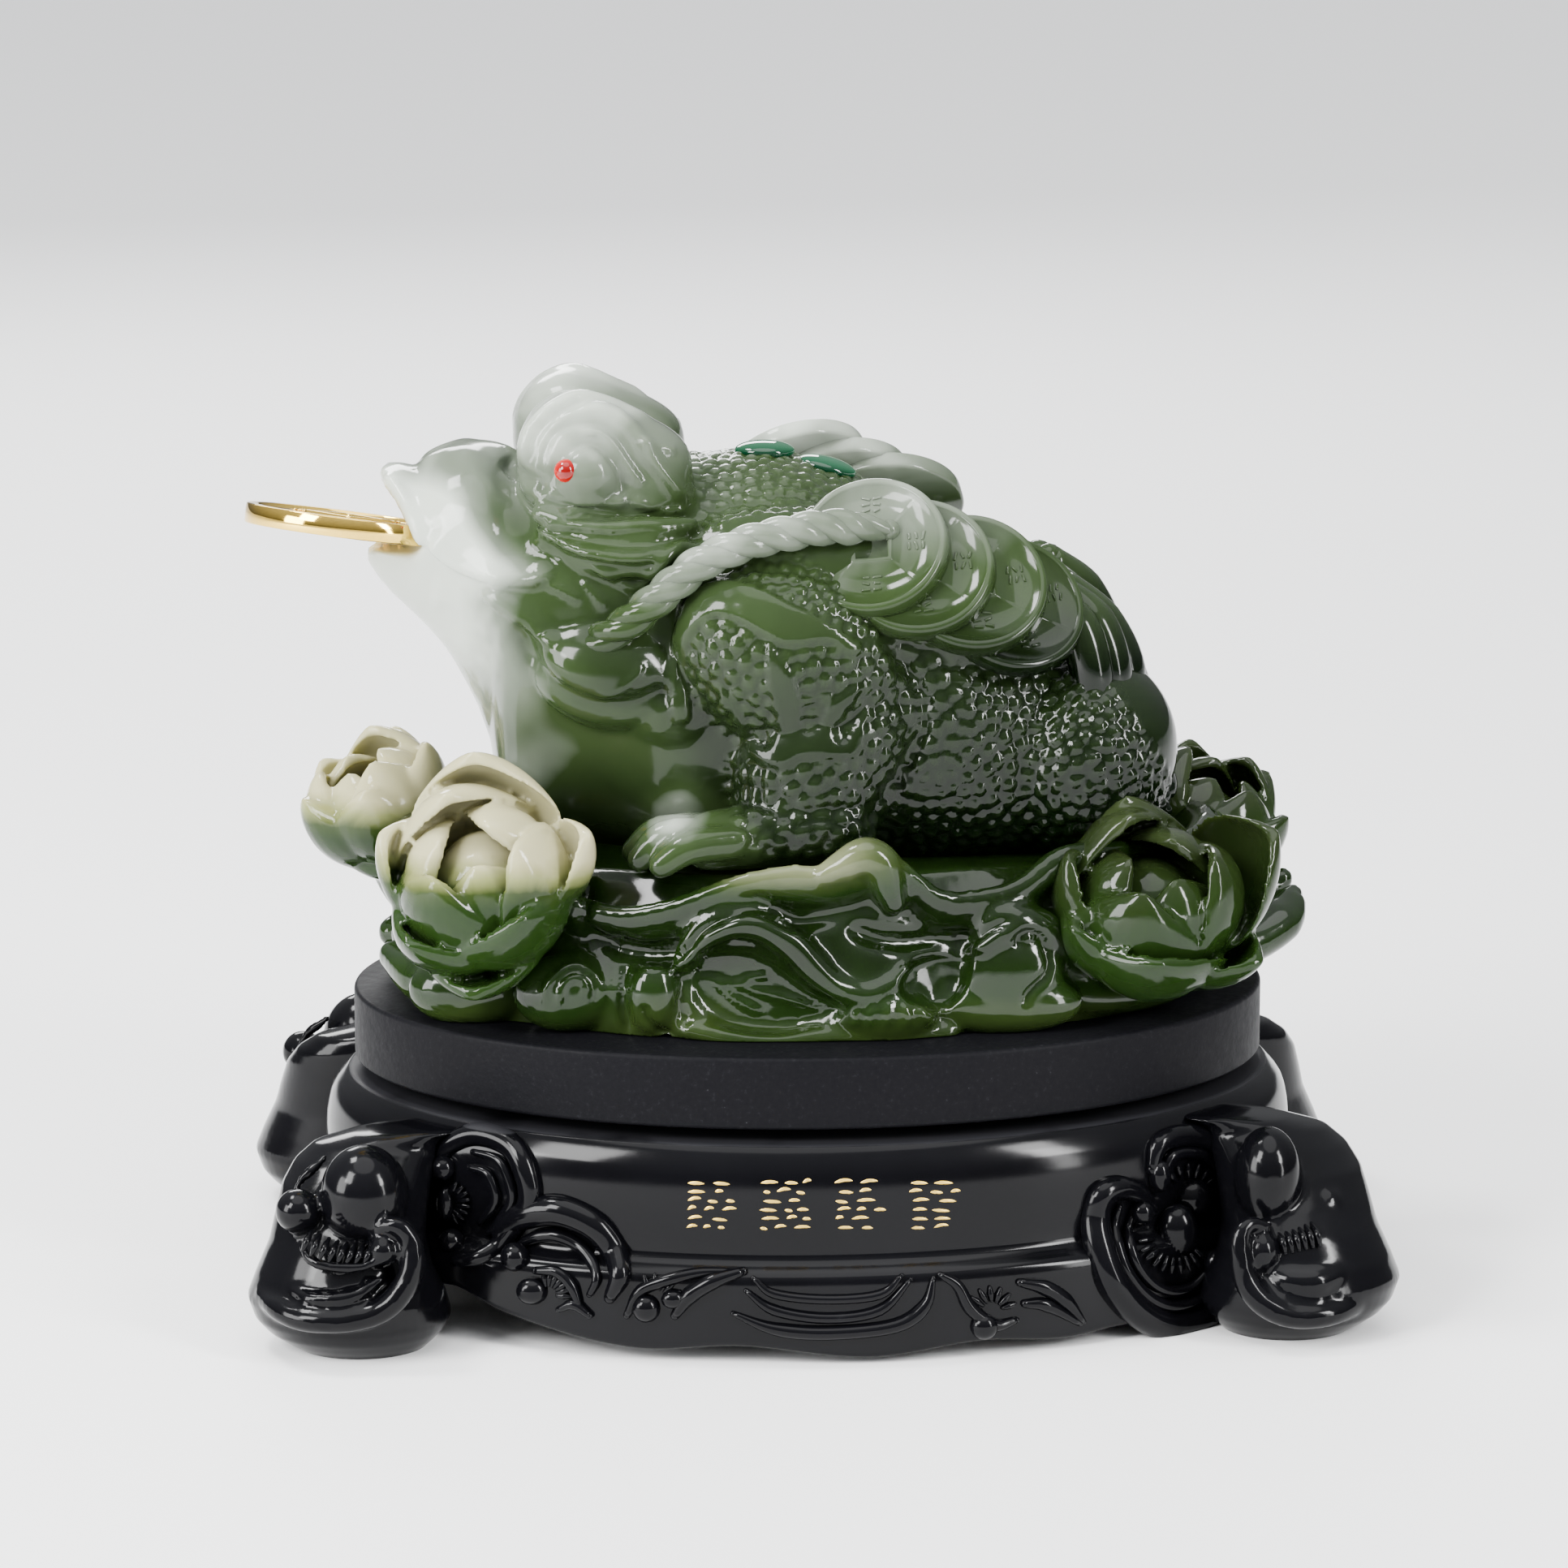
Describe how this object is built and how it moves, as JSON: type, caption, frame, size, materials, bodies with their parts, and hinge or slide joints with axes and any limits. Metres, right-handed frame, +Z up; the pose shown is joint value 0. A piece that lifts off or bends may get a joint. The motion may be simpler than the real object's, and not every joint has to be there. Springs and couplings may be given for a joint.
{
  "type": "money toad figure",
  "caption": "Jade-look money toad with a gold coin in its mouth, on a lotus leaf with flowers, on an oval board that turns on a carved black stand.",
  "frame": {"origin": "on the table under the middle of the stand, on the axis that the board turns about", "axes": "+X from the toad's snout to its rump, -Y to the front panel side that the picture shows, +Z up"},
  "size_m": [0.284, 0.182, 0.2286],
  "materials": {
    "black_lacquer": "glossy black lacquered resin",
    "bearing_steel": "plain",
    "black_board": "matte charcoal edge, satin top",
    "jade": "polished jade-look resin, pale grey-green head to deep green leaf",
    "gold": "mirror polished gold plate",
    "red_glass": "polished",
    "green_glass": "polished"
  },
  "bodies": {
    "stand": {"carved_stand": "black_lacquer", "turning_bearing": "bearing_steel"},
    "turntable": {"turning_board": "black_board", "jade_toad": "jade", "gold_coin": "gold", "eye_near": "red_glass", "eye_far": "red_glass", "back_stone_1": "green_glass", "back_stone_2": "green_glass", "back_stone_3": "green_glass"}
  },
  "joints": [
    {"name": "turning", "type": "hinge", "parent": "stand", "child": "turntable", "pos_m": [0, 0, 0.0543], "axis": [0, 0, 1], "continuous": true}
  ]
}
